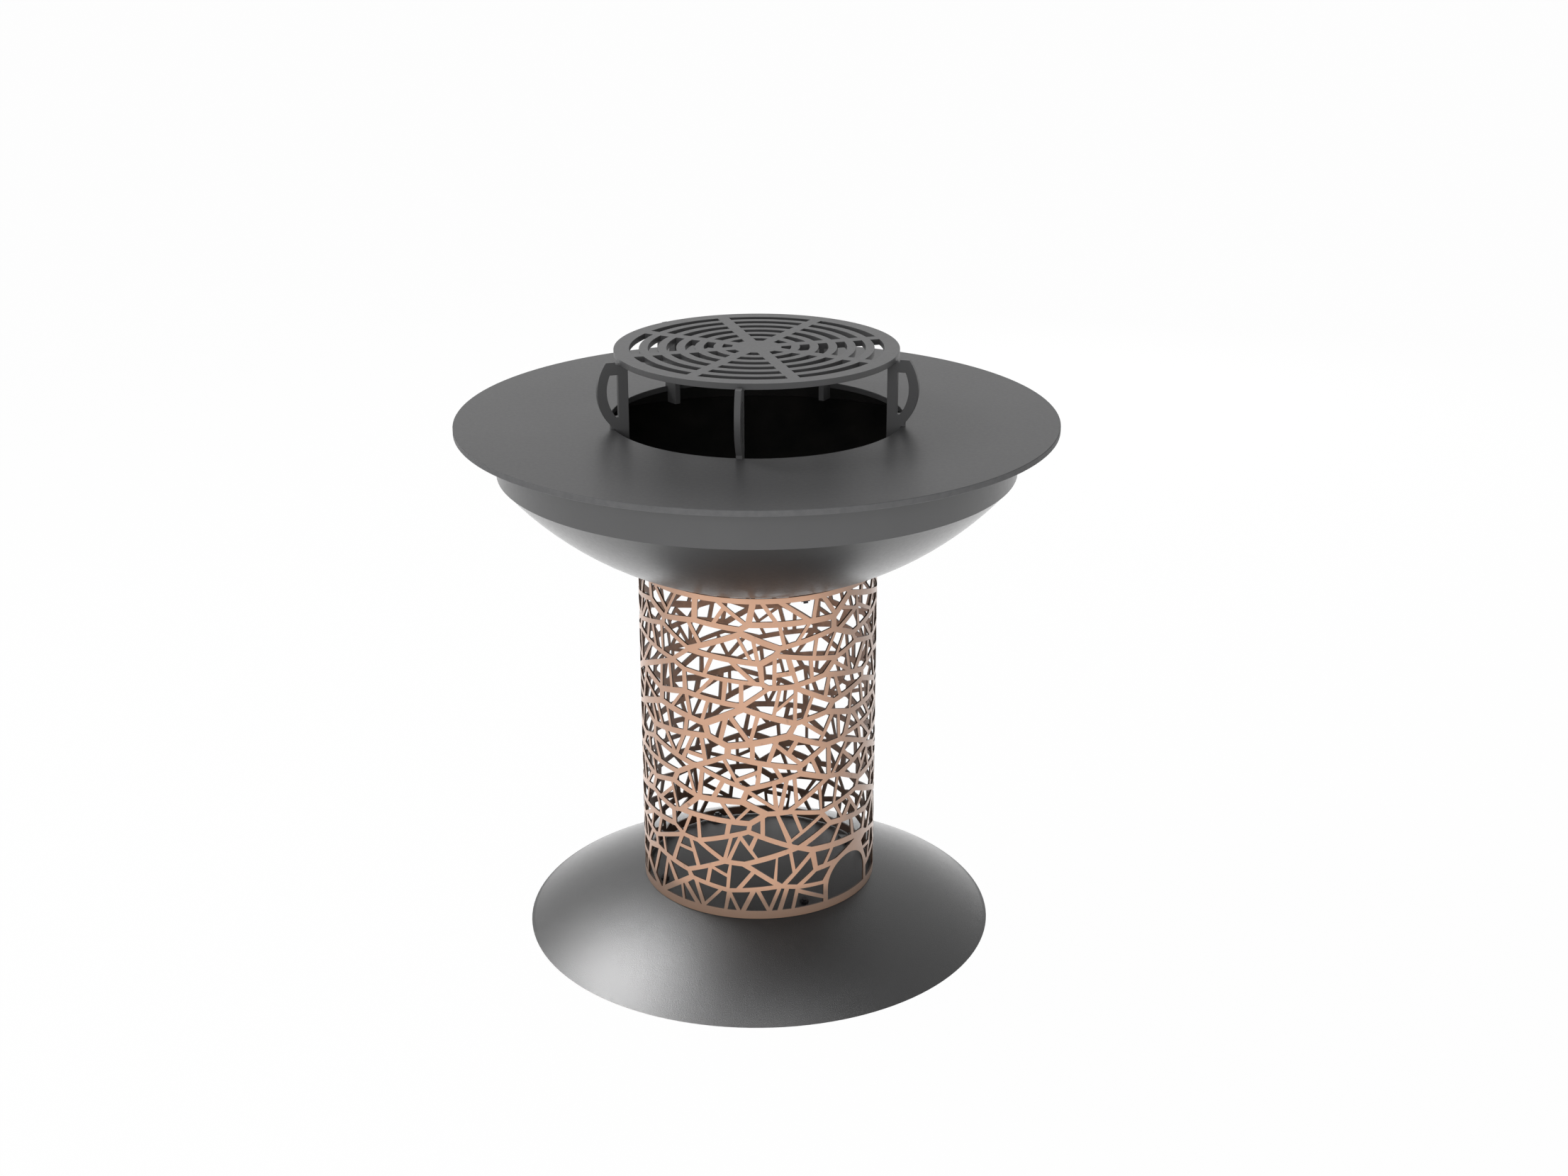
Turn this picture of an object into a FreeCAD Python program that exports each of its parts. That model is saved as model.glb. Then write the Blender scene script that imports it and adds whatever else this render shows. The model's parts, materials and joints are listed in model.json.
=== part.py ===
import FreeCAD, Part
import itertools
import math
import os
import random
import re

import Sketcher

# Fire pit: a steel dome, a pierced copper tube, a fire bowl with an upright rim, a round cooking plate
# with a hole over the fire, and a grill rack that hooks into that hole.
# The origin is on the ground under the middle, and +Z is up.

DOC = FreeCAD.newDocument("fire_pit")
SHEET = DOC.addObject("Spreadsheet::Sheet", "Sizes")

# Driving sizes, in millimetres, degrees and counts
SIZES = {
    # Foot dome
    "dome_rim_radius": 408,
    "dome_height": 112.5,
    "dome_sheet": 4,
    # Pedestal tube and the web cut into it
    "tube_outer_radius": 203.2,
    "tube_wall": 3,
    "seat_clearance": 0.3,
    "tube_sector_count": 48,
    "sector_joint_clearance": 2,
    "cut_overrun": 3,
    "web_plain_foot": 15,
    "web_plain_head": 9,
    "web_cell_width": 150,
    "web_cell_height": 36,
    "web_strap": 9.5,
    "web_strap_spread": 0.3,
    "web_scatter_round": 0.8,
    "web_scatter_up": 0.55,
    "web_stretch": 2.6,
    "web_reach": 3,
    "web_rung": 6.5,
    "web_rung_thinnest": 0.8,
    "web_rung_thickest": 1.25,
    "web_rung_tilt": 38,
    "web_rung_shift": 0.12,
    "web_opening_area": 960,
    "web_area_smallest": 0.8,
    "web_area_largest": 1.9,
    "web_least_area": 90,
    "web_least_edge": 3,
    "web_seed": 11,
    "arch_width": 100,
    "arch_height": 74,
    "arch_azimuth": 319.5,
    # Cooking plate and the upright band under it
    "plate_top": 918.4,
    "plate_radius": 500,
    "plate_thickness": 10,
    "plate_hole_radius": 244.5,
    "plate_edge_break": 0.8,
    "band_outer_radius": 433,
    "band_wall": 4,
    "band_height": 74,
    # Fire bowl
    "bowl_depth": 201.5,
    "bowl_sheet": 4,
    "bowl_rim_setback": 1,
    # Lugs under the cooking plate
    "lug_count": 4,
    "lug_length": 60,
    "lug_height": 25,
    "lug_thickness": 5,
    "lug_clearance": 2,
    # Tabs and screws that join the tube to the dome and the bowl
    "tab_count": 4,
    "tab_azimuth": 25,
    "tab_width": 30,
    "tab_length": 34,
    "tab_thickness": 5,
    "screw_inset": 20,
    "screw_diameter": 8,
    "screw_hole_clearance": 0.5,
    "screw_head_width": 13,
    "screw_head_height": 5.3,
    "screw_end": 3,
    "washer_radius": 8,
    "washer_thickness": 1.6,
    "nut_height": 6.5,
    "nut_bore_clearance": 0.2,
    # Grill grate
    "grate_setback": 10,
    "grate_thickness": 10,
    "grate_rise": 107,
    "grate_hub_radius": 40.5,
    "grate_rim_width": 25.5,
    "grate_slot_width": 16,
    "grate_ring_count": 6,
    "grate_spoke_count": 8,
    "grate_spoke_width": 20,
    "grate_azimuth": 38.5,
    # Rack legs
    "leg_thickness": 10,
    "leg_bearing": 14.5,
    "leg_notch_clearance": 6,
    "leg_upstand_height": 4,
    "leg_upstand_width": 15.5,
    "leg_arc_radius": 84.2,
    "leg_foot_rise": 6,
    "leg_foot_width": 5.5,
    "leg_tab_depth": 28,
    "leg_tab_clearance": 1,
    "leg_bar_width": 16.5,
    "leg_strap_width": 15.8,
    "leg_slot_top": 90,
    "leg_slot_bottom": 20,
    "leg_front_azimuth": 263.5,
    "leg_right_azimuth": 344.7,
    "leg_back_right_azimuth": 59.5,
    "leg_back_left_azimuth": 128.5,
    "leg_left_azimuth": 198,
}

# Places and sizes that follow from the driving sizes
DERIVED = {
    "dome_sphere": "(dome_rim_radius ^ 2 + dome_height ^ 2) / (2 * dome_height)",
    "dome_centre": "dome_height - dome_sphere",
    "plate_underside": "plate_top - plate_thickness",
    "band_inner_radius": "band_outer_radius - band_wall",
    "bowl_rim_radius": "band_outer_radius - bowl_rim_setback",
    "bowl_rim_level": "plate_underside - band_height",
    "bowl_sphere": "(bowl_rim_radius ^ 2 + bowl_depth ^ 2) / (2 * bowl_depth)",
    "bowl_centre": "bowl_rim_level - bowl_depth + bowl_sphere",
    "tube_inner_radius": "tube_outer_radius - tube_wall",
    "tube_foot": "dome_centre + sqrt(dome_sphere ^ 2 - tube_inner_radius ^ 2) + seat_clearance",
    "tube_head": "bowl_centre - sqrt(bowl_sphere ^ 2 - tube_inner_radius ^ 2) - seat_clearance",
    "lug_outer_face": "sqrt((band_inner_radius - lug_clearance) ^ 2 - (lug_length / 2) ^ 2)",
    "screw_circle": "tube_inner_radius - screw_inset",
    "screw_hole": "screw_diameter + 2 * screw_hole_clearance",
    "tab_end_radius": "sqrt((tube_inner_radius - seat_clearance) ^ 2 - (tab_width / 2) ^ 2)",
    "tab_top": "seat_clearance + tab_thickness",
    "grate_radius": "plate_hole_radius - grate_setback",
    "grate_pitch": "(grate_radius - grate_rim_width - grate_hub_radius - grate_slot_width)"
                   " / (grate_ring_count - 1)",
    "leg_inner": "grate_radius - leg_bearing",
    "leg_notch_wall": "grate_radius + leg_notch_clearance",
    "leg_top": "grate_rise + leg_upstand_height",
    "leg_top_corner": "leg_notch_wall + leg_upstand_width",
    "leg_foot_corner": "plate_hole_radius + leg_foot_width",
    "leg_tab_face": "plate_hole_radius - leg_tab_clearance",
    "leg_chord_out": "leg_top_corner - leg_foot_corner",
    "leg_chord_up": "leg_top - leg_foot_rise",
    "leg_chord": "sqrt(leg_chord_out ^ 2 + leg_chord_up ^ 2)",
    "leg_reach": "sqrt(leg_arc_radius ^ 2 - (leg_chord / 2) ^ 2) / leg_chord",
    "leg_arc_out": "(leg_top_corner + leg_foot_corner) / 2 - leg_chord_up * leg_reach",
    "leg_arc_up": "(leg_top + leg_foot_rise) / 2 + leg_chord_out * leg_reach",
    "leg_slot_radius": "leg_arc_radius - leg_strap_width",
    "leg_slot_side": "leg_inner + leg_bar_width",
    "leg_slot_top_corner": "leg_arc_out + sqrt(leg_slot_radius ^ 2 - (leg_slot_top - leg_arc_up) ^ 2)",
    "leg_slot_low_corner": "leg_arc_out + sqrt(leg_slot_radius ^ 2 - (leg_slot_bottom - leg_arc_up) ^ 2)",
}

UPRIGHT = FreeCAD.Vector(0, 0, 1)
LEVEL = FreeCAD.Vector(0, 1, 0)
WORD = re.compile(r"[a-z]+(?:_[a-z]+)+")


def fill_sheet():
    """Write one named row for each driving size."""
    for row, (name, number) in enumerate(SIZES.items(), start=1):
        SHEET.set(f"A{row}", name)
        SHEET.set(f"B{row}", str(number))
        SHEET.setAlias(f"B{row}", name)
    DOC.recompute()


def spell(text):
    """Turn a rule written with size names into one that reads the sheet's cells."""
    def cell(match):
        name = match.group(0)
        if name in DERIVED:
            return f"({spell(DERIVED[name])})"
        return f"Sizes.{name}"
    return WORD.sub(cell, text)


def bind(thing, place, text):
    """Tie one property of an object to a rule."""
    thing.setExpression(place, spell(text))


def worth(text):
    """Number that a rule gives now."""
    answer = SHEET.evalExpression(spell(text))
    return float(getattr(answer, "Value", answer))


# Sketches and solids

def new_body(name):
    """Empty body whose label is the piece's name."""
    body = DOC.addObject("PartDesign::Body", name)
    body.Label = name
    return body


def origin_feature(body, role):
    """Origin plane or axis of a body."""
    return next(item for item in body.Origin.OriginFeatures if item.Role == role)


def new_sketch(body, name, plane="XY_Plane", level=None):
    """Sketch on an origin plane of its body, lifted to a level where one is given."""
    sketch = body.newObject("Sketcher::SketchObject", name)
    sketch.AttachmentSupport = [(origin_feature(body, plane), "")]
    sketch.MapMode = "FlatFace"
    if level is not None:
        bind(sketch, "AttachmentOffset.Base.z", level)
    return sketch


def measure(sketch, constraint, text):
    """Add a dimension to a sketch and tie it to a rule."""
    index = sketch.addConstraint(constraint)
    bind(sketch, f"Constraints[{index}]", text)


def draw_circle(sketch, radius):
    """Circle on the sketch's origin, with its radius tied to a rule."""
    geometry = sketch.addGeometry(Part.Circle(FreeCAD.Vector(), UPRIGHT, worth(radius)))
    sketch.addConstraint(Sketcher.Constraint("Coincident", geometry, 3, -1, 1))
    measure(sketch, Sketcher.Constraint("Radius", geometry, worth(radius)), radius)


def arc_between(start, end, radius, turns_left):
    """Minor arc from start to end, with its centre to the left of the way or to the right."""
    chord = end - start
    reach = math.sqrt(radius ** 2 - (chord.Length / 2) ** 2) / chord.Length
    left = FreeCAD.Vector(-chord.y, chord.x, 0)
    middle = (start + end) / 2 + left * (reach if turns_left else -reach)
    first, last = (start, end) if turns_left else (end, start)
    from_angle = math.atan2(first.y - middle.y, first.x - middle.x)
    to_angle = math.atan2(last.y - middle.y, last.x - middle.x)
    if to_angle < from_angle:
        to_angle += 2 * math.pi
    return Part.ArcOfCircle(Part.Circle(middle, UPRIGHT, radius), from_angle, to_angle)


def draw_outline(sketch, corners, arcs=None):
    """Closed outline through corners given as pairs of rules.

    arcs maps a corner's number to the arc that leaves it: its radius and "left" or "right".
    """
    arcs = arcs or {}
    points = [FreeCAD.Vector(worth(across), worth(up), 0) for across, up in corners]
    ends = []
    for number, start in enumerate(points):
        end = points[(number + 1) % len(points)]
        if number not in arcs:
            geometry = sketch.addGeometry(Part.LineSegment(start, end))
            ends.append((geometry, 1, 2))
            continue
        radius, side = arcs[number]
        geometry = sketch.addGeometry(arc_between(start, end, worth(radius), side == "left"))
        ends.append((geometry, 1, 2) if side == "left" else (geometry, 2, 1))
    for number, (across, up) in enumerate(corners):
        geometry, start, _ = ends[number]
        before, _, end = ends[number - 1]
        sketch.addConstraint(Sketcher.Constraint("Coincident", before, end, geometry, start))
        across_rule = Sketcher.Constraint("DistanceX", -1, 1, geometry, start, points[number].x)
        up_rule = Sketcher.Constraint("DistanceY", -1, 1, geometry, start, points[number].y)
        measure(sketch, across_rule, across)
        measure(sketch, up_rule, up)
    for number, (radius, _) in arcs.items():
        geometry = ends[number][0]
        measure(sketch, Sketcher.Constraint("Radius", geometry, worth(radius)), radius)


def draw_hexagon(sketch, width):
    """Six-sided outline with its width across flats tied to a rule."""
    corner = f"({width}) / sqrt(3)"
    corners = [(f"{corner} * cos({60 * turn})", f"{corner} * sin({60 * turn})") for turn in range(6)]
    draw_outline(sketch, corners)


def pad(body, sketch, length, reversed_way=False, symmetric=False):
    """Pad of a sketch with its length tied to a rule."""
    feature = body.newObject("PartDesign::Pad", f"{sketch.Name}_pad")
    feature.Profile = sketch
    feature.Reversed = reversed_way
    if symmetric:
        feature.SideType = "Symmetric"
    bind(feature, "Length", length)
    DOC.recompute()
    return feature


def pocket(body, sketch):
    """Pocket through everything on both sides of a sketch."""
    before = body.Shape.Volume
    feature = body.newObject("PartDesign::Pocket", f"{sketch.Name}_pocket")
    feature.Profile = sketch
    feature.Type = "ThroughAll"
    feature.SideType = "Symmetric"
    DOC.recompute()
    if feature.Shape.Volume >= before:
        raise RuntimeError(f"{feature.Name} cuts nothing")
    return feature


def revolve(body, sketch):
    """Full turn of a sketch about its upright axis."""
    feature = body.newObject("PartDesign::Revolution", f"{sketch.Name}_turn")
    feature.Profile = sketch
    feature.ReferenceAxis = (sketch, ["V_Axis"])
    feature.Angle = 360
    DOC.recompute()
    return feature


def repeat(body, features, count):
    """Repeat features evenly about the upright axis of their body."""
    feature = body.newObject("PartDesign::PolarPattern", f"{body.Name}_ring")
    feature.Originals = features
    feature.Axis = (origin_feature(body, "Z_Axis"), [""])
    feature.Angle = 360
    bind(feature, "Occurrences", count)
    body.Tip = feature
    DOC.recompute()
    return feature


# Seats of the screws on the dome and on the bowl
# Each seat is a place on a ball's skin: its radius, its centre's level, and whether the seat is on top.
DOME_SEAT = ("dome_sphere", "dome_centre", True)
BOWL_SEAT = ("bowl_sphere", "bowl_centre", False)


def seat_sketch(body, name, seat, height):
    """Sketch square to the ball at the first screw, to whose side the body turns, at a height above its skin."""
    sphere, centre, on_top = seat
    lean = f"asin(screw_circle / ({sphere}))"
    distance = f"(({sphere}) + ({height}))"
    bind(body, "Placement.Rotation.Angle", "tab_azimuth")
    sketch = new_sketch(body, name)
    sketch.AttachmentOffset = FreeCAD.Placement(FreeCAD.Vector(), FreeCAD.Rotation(LEVEL, 1))
    bind(sketch, "AttachmentOffset.Rotation.Angle", lean if on_top else f"180 deg - {lean}")
    bind(sketch, "AttachmentOffset.Base.x", f"{distance} * sin({lean})")
    bind(sketch, "AttachmentOffset.Base.z", f"({centre}) {'+' if on_top else '-'} {distance} * cos({lean})")
    return sketch


def screw_holes(body, seat):
    """Ring of screw holes through a dome or a bowl."""
    sketch = seat_sketch(body, f"{body.Name}_hole", seat, "0")
    draw_circle(sketch, "screw_hole / 2")
    sheet = "dome_sheet" if seat is DOME_SEAT else "bowl_sheet"
    before = body.Shape.Volume
    feature = body.newObject("PartDesign::Pocket", f"{sketch.Name}_pocket")
    feature.Profile = sketch
    feature.SideType = "Symmetric"
    bind(feature, "Length", f"2 * ({sheet} + cut_overrun)")
    DOC.recompute()
    if feature.Shape.Volume >= before:
        raise RuntimeError(f"{feature.Name} cuts nothing")
    repeat(body, [feature], "tab_count")


def make_tabs(name, seat):
    """Tabs welded inside one end of the tube, lying on the dome or under the bowl."""
    body = new_body(name)
    sphere, _, on_top = seat
    lean = f"asin(screw_circle / ({sphere}))"
    outer_end = f"(tab_end_radius - screw_circle - tab_top * sin({lean})) / cos({lean})"
    inner_end = f"{outer_end} - tab_length"
    sign = "" if on_top else "-1 * "
    left, right = f"{sign}({inner_end})", f"{sign}({outer_end})"
    if not on_top:
        left, right = right, left
    sketch = seat_sketch(body, f"{name}_outline", seat, "seat_clearance")
    half = "tab_width / 2"
    draw_outline(sketch, [(left, f"-({half})"), (right, f"-({half})"), (right, half), (left, half)])
    draw_circle(sketch, "screw_hole / 2")
    blank = pad(body, sketch, "tab_thickness")
    repeat(body, [blank], "tab_count")
    return body


def make_washers(name, seat, sheet):
    """Washers under the screw heads, inside the shell."""
    body = new_body(name)
    sketch = seat_sketch(body, f"{name}_outline", seat, f"-1 * ({sheet} + seat_clearance)")
    draw_circle(sketch, "washer_radius")
    draw_circle(sketch, "screw_hole / 2")
    ring = pad(body, sketch, "washer_thickness", reversed_way=True)
    repeat(body, [ring], "tab_count")
    return body


def make_nuts(name, seat):
    """Nuts welded on the tabs, inside the tube."""
    body = new_body(name)
    sketch = seat_sketch(body, f"{name}_outline", seat, "tab_top")
    draw_hexagon(sketch, "screw_head_width")
    draw_circle(sketch, "screw_diameter / 2 + nut_bore_clearance")
    nut = pad(body, sketch, "nut_height")
    repeat(body, [nut], "tab_count")
    return body


def make_screws(name, seat, sheet):
    """Hexagon screws from inside the shell into the nuts."""
    body = new_body(name)
    head_level = f"-1 * ({sheet} + seat_clearance + washer_thickness)"
    head_sketch = seat_sketch(body, f"{name}_head", seat, head_level)
    draw_hexagon(head_sketch, "screw_head_width")
    head = pad(body, head_sketch, "screw_head_height", reversed_way=True)
    shank_sketch = seat_sketch(body, f"{name}_shank", seat, head_level)
    draw_circle(shank_sketch, "screw_diameter / 2")
    reach = f"{sheet} + seat_clearance + washer_thickness + tab_top + nut_height + screw_end"
    shank = pad(body, shank_sketch, reach)
    repeat(body, [head, shank], "tab_count")
    return body


# Dome, bowl, band and plate

def make_dome():
    """Shallow spun dome that stands on the ground on its rim."""
    body = new_body("base_dome")
    inner = "(dome_sphere - dome_sheet)"
    inner_rim = f"sqrt({inner} ^ 2 - dome_centre ^ 2)"
    sketch = new_sketch(body, "dome_section", "XZ_Plane")
    corners = [(inner_rim, "0"), ("dome_rim_radius", "0"), ("0", "dome_height"),
               ("0", "dome_height - dome_sheet")]
    draw_outline(sketch, corners, {1: ("dome_sphere", "left"), 3: (inner, "right")})
    revolve(body, sketch)
    screw_holes(body, DOME_SEAT)
    return body


def make_bowl():
    """Dished bowl with a flat rim for the band."""
    body = new_body("fire_bowl")
    inner = "(bowl_sphere - bowl_sheet)"
    inner_rim = f"sqrt({inner} ^ 2 - (bowl_centre - bowl_rim_level) ^ 2)"
    lowest = "bowl_rim_level - bowl_depth"
    sketch = new_sketch(body, "bowl_section", "XZ_Plane")
    corners = [("0", lowest), ("bowl_rim_radius", "bowl_rim_level"), (inner_rim, "bowl_rim_level"),
               ("0", f"{lowest} + bowl_sheet")]
    draw_outline(sketch, corners, {0: ("bowl_sphere", "left"), 2: (inner, "right")})
    revolve(body, sketch)
    screw_holes(body, BOWL_SEAT)
    return body


def make_band():
    """Upright ring that stands on the bowl's rim and carries the cooking plate."""
    body = new_body("rim_band")
    sketch = new_sketch(body, "band_section", level="bowl_rim_level")
    draw_circle(sketch, "band_outer_radius")
    draw_circle(sketch, "band_inner_radius")
    pad(body, sketch, "band_height")
    return body


def make_plate():
    """Thick cooking plate with a round hole and broken edges."""
    body = new_body("cooking_plate")
    sketch = new_sketch(body, "plate_section", level="plate_underside")
    draw_circle(sketch, "plate_radius")
    draw_circle(sketch, "plate_hole_radius")
    blank = pad(body, sketch, "plate_thickness")
    rounds = [f"Edge{number}" for number, edge in enumerate(blank.Shape.Edges, start=1)
              if isinstance(edge.Curve, Part.Circle)]
    bevel = body.newObject("PartDesign::Chamfer", "plate_edges")
    bevel.Base = (blank, rounds)
    bind(bevel, "Size", "plate_edge_break")
    DOC.recompute()
    return body


def make_lugs():
    """Lugs welded under the cooking plate, just inside the band."""
    body = new_body("plate_lugs")
    sketch = new_sketch(body, "lug_section", level="plate_underside")
    inner, outer, half = "lug_outer_face - lug_thickness", "lug_outer_face", "lug_length / 2"
    draw_outline(sketch, [(inner, f"-({half})"), (outer, f"-({half})"), (outer, half), (inner, half)])
    lug = pad(body, sketch, "lug_height", reversed_way=True)
    repeat(body, [lug], "lug_count")
    return body


# Pedestal tube with its web of openings

def cut_back(polygon, point, normal):
    """Part of a polygon that lies behind a line, away from the line's normal."""
    kept = []
    for here, there in zip(polygon, polygon[1:] + polygon[:1]):
        here_side = (here[0] - point[0]) * normal[0] + (here[1] - point[1]) * normal[1]
        there_side = (there[0] - point[0]) * normal[0] + (there[1] - point[1]) * normal[1]
        if here_side <= 0:
            kept.append(here)
        if here_side * there_side < 0:
            share = here_side / (here_side - there_side)
            kept.append((here[0] + share * (there[0] - here[0]), here[1] + share * (there[1] - here[1])))
    return kept


def area_of(polygon):
    """Area inside a polygon."""
    pairs = zip(polygon, polygon[1:] + polygon[:1])
    return abs(sum(here[0] * there[1] - there[0] * here[1] for here, there in pairs)) / 2


def middle_of(polygon):
    """Mean of a polygon's corners."""
    return (sum(corner[0] for corner in polygon) / len(polygon),
            sum(corner[1] for corner in polygon) / len(polygon))


def without_short_edges(polygon, least):
    """Polygon with corners that lie closer than the least edge joined into one."""
    kept = list(polygon)
    number = 0
    while len(kept) > 3 and number < len(kept):
        here, there = kept[number], kept[(number + 1) % len(kept)]
        if math.dist(here, there) >= least:
            number += 1
            continue
        kept[number] = middle_of([here, there])
        kept.pop((number + 1) % len(kept))
        number = 0
    return kept


def rung_cells(cell, draw):
    """Openings of one wide cell, parted by thin slanting rungs across its longer way."""
    if len(cell) < 3:
        return []
    share = draw.uniform(worth("web_area_smallest"), worth("web_area_largest"))
    if area_of(cell) < worth("web_opening_area") * share:
        return [cell]
    first, last = max(itertools.combinations(cell, 2), key=lambda pair: math.dist(*pair))
    along = math.atan2(last[1] - first[1], last[0] - first[0])
    along += math.radians(worth("web_rung_tilt")) * draw.uniform(-1, 1)
    normal = (math.cos(along), math.sin(along))
    shift = math.dist(first, last) * worth("web_rung_shift") * draw.uniform(-1, 1)
    middle = middle_of(cell)
    half = worth("web_rung") / 2 * draw.uniform(worth("web_rung_thinnest"), worth("web_rung_thickest"))
    parts = []
    for side in (1, -1):
        edge = [middle[axis] + (shift - side * half) * normal[axis] for axis in (0, 1)]
        parts += rung_cells(cut_back(cell, edge, [side * part for part in normal]), draw)
    return parts


def clear_of_arch(cell, around):
    """Part of a cell that leaves a strap round the arch."""
    reach = worth("arch_width / 2 + web_strap")
    spring = worth("tube_foot + web_plain_foot + arch_height - arch_width / 2")
    for turn in (-1, 0, 1):
        if len(cell) < 3:
            return cell
        middle = middle_of(cell)
        arch = (math.radians(worth("arch_azimuth")) * worth("tube_outer_radius") + turn * around,
                min(middle[1], spring))
        away = math.dist(middle, arch)
        normal = [(arch[axis] - middle[axis]) / away for axis in (0, 1)]
        cell = cut_back(cell, [arch[axis] - reach * normal[axis] for axis in (0, 1)], normal)
    return cell


def off_joints(corner):
    """Corner moved sideways where it lies too near a joint of two sectors."""
    pitch = 2 * math.pi * worth("tube_outer_radius") / worth("tube_sector_count")
    clearance = worth("sector_joint_clearance")
    beside = corner[0] - pitch * round(corner[0] / pitch)
    if abs(beside) >= clearance:
        return corner
    return (corner[0] - beside + math.copysign(clearance, beside), corner[1])


def scatter_points(low, high, around):
    """Scattered points in staggered rows on the unrolled tube, each with the width of its straps."""
    columns = round(around / worth("web_cell_width"))
    rows = round((high - low) / worth("web_cell_height"))
    draw = random.Random(int(worth("web_seed")))
    points = {}
    for row in range(rows):
        for column in range(columns):
            place = column + 0.5 * (row % 2) + worth("web_scatter_round") * draw.uniform(-0.5, 0.5)
            level = row + 0.5 + worth("web_scatter_up") * draw.uniform(-0.5, 0.5)
            strap = worth("web_strap") * (1 + worth("web_strap_spread") * draw.uniform(-1, 1))
            points[row, column] = (place * around / columns, low + level * (high - low) / rows, strap)
    return points, rows, columns, draw


def strap_cell(row, column, points, rows, columns, low, high, around):
    """Ground nearest to one point, with half a strap taken off along every side that it shares."""
    across, up, strap = points[row, column]
    reach = int(worth("web_reach"))
    wide = 2 * around / columns
    cell = [(across - wide, low), (across + wide, low), (across + wide, high), (across - wide, high)]
    for near_row in range(max(row - reach, 0), min(row + reach + 1, rows)):
        for near_column in range(column - reach, column + reach + 1):
            if (near_row, near_column) == (row, column):
                continue
            turns, index = divmod(near_column, columns)
            other_across, other_up, other_strap = points[near_row, index]
            other_across += turns * around
            slope = (other_across - across, worth("web_stretch") ** 2 * (other_up - up))
            normal = [part / math.hypot(*slope) for part in slope]
            inset = (strap + other_strap) / 4
            edge = ((across + other_across) / 2 - inset * normal[0], (up + other_up) / 2 - inset * normal[1])
            cell = cut_back(cell, edge, normal)
    return cell


def web_openings():
    """Outlines of the openings on the unrolled tube: distance round it, and level.

    Straps part the wall into wide cells, and thin rungs part each cell into openings.
    """
    low = worth("tube_foot + web_plain_foot")
    high = worth("tube_head - web_plain_head")
    around = 2 * math.pi * worth("tube_outer_radius")
    points, rows, columns, draw = scatter_points(low, high, around)
    outlines = []
    for row, column in points:
        cell = strap_cell(row, column, points, rows, columns, low, high, around)
        for part in rung_cells(clear_of_arch(cell, around), draw):
            clean = without_short_edges(part, worth("web_least_edge"))
            outlines.append([off_joints(corner) for corner in clean])
    return [outline for outline in outlines if area_of(outline) > worth("web_least_area")]


def cutter(turns, levels, close):
    """Prism that cuts one opening, square to the tube at the opening's middle.

    turns and levels give the corners round the tube, and close makes the outline through them.
    """
    outer, overrun = worth("tube_outer_radius"), worth("cut_overrun")
    middle = (min(turns) + max(turns)) / 2
    outward = FreeCAD.Vector(math.cos(middle), math.sin(middle), 0)
    sideways = FreeCAD.Vector(-outward.y, outward.x, 0)
    start = outward * (outer + overrun)
    corners = [start + sideways * (outer * math.sin(turn - middle)) + FreeCAD.Vector(0, 0, up)
               for turn, up in zip(turns, levels)]
    depth = outer * (1 - math.cos(max(turns) - middle)) + worth("tube_wall") + 2 * overrun
    return Part.Face(close(corners)).extrude(outward * -depth)


def close_polygon(corners):
    """Straight-sided outline."""
    return Part.makePolygon(corners + corners[:1])


def close_arch(corners):
    """Outline with two upright sides and a round head through its middle corner."""
    right_foot, right_spring, crown, left_spring, left_foot = corners
    sides = [Part.LineSegment(left_spring, left_foot), Part.LineSegment(left_foot, right_foot),
             Part.LineSegment(right_foot, right_spring)]
    head = Part.Arc(right_spring, crown, left_spring)
    return Part.Wire([side.toShape() for side in sides] + [head.toShape()])


def make_web_cutters():
    """Prisms that cut the web and the arch."""
    outer = worth("tube_outer_radius")
    prisms = []
    for outline in web_openings():
        turns = [across / outer for across, _ in outline]
        prisms.append(cutter(turns, [up for _, up in outline], close_polygon))
    half = worth("arch_width") / 2 / outer
    foot = worth("tube_foot + web_plain_foot")
    crown = foot + worth("arch_height")
    spring = crown - worth("arch_width") / 2
    turns = [math.radians(worth("arch_azimuth")) + share * half for share in (1, 1, 0, -1, -1)]
    prisms.append(cutter(turns, [foot, spring, crown, spring, foot], close_arch))
    cutters = DOC.addObject("Part::Feature", "web_cutters")
    cutters.Shape = Part.makeCompound(prisms)
    return cutters


def make_tube():
    """Tube with the web of openings cut through its wall, which is joined from equal sectors."""
    sectors = []
    for number in range(int(worth("tube_sector_count"))):
        rounds = []
        for name, radius in (("skin", "tube_outer_radius"), ("bore", "tube_inner_radius")):
            cylinder = DOC.addObject("Part::Cylinder", f"sector_{name}_{number}")
            bind(cylinder, "Radius", radius)
            bind(cylinder, "Height", "tube_head - tube_foot")
            bind(cylinder, "Angle", "360 / tube_sector_count")
            cylinder.Placement = FreeCAD.Placement(FreeCAD.Vector(), FreeCAD.Rotation(UPRIGHT, 1))
            bind(cylinder, "Placement.Rotation.Angle", f"{number} * 360 / tube_sector_count")
            bind(cylinder, "Placement.Base.z", "tube_foot")
            rounds.append(cylinder)
        sector = DOC.addObject("Part::Cut", f"sector_{number}")
        sector.Base, sector.Tool = rounds
        sectors.append(sector)
    plain = DOC.addObject("Part::MultiFuse", "plain_tube")
    plain.Shapes = sectors
    plain.Refine = False
    tube = DOC.addObject("Part::Cut", "pedestal_tube")
    tube.Base, tube.Tool = plain, make_web_cutters()
    tube.Refine = False
    tube.Label = "pedestal_tube"
    return tube


# Grill rack

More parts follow.
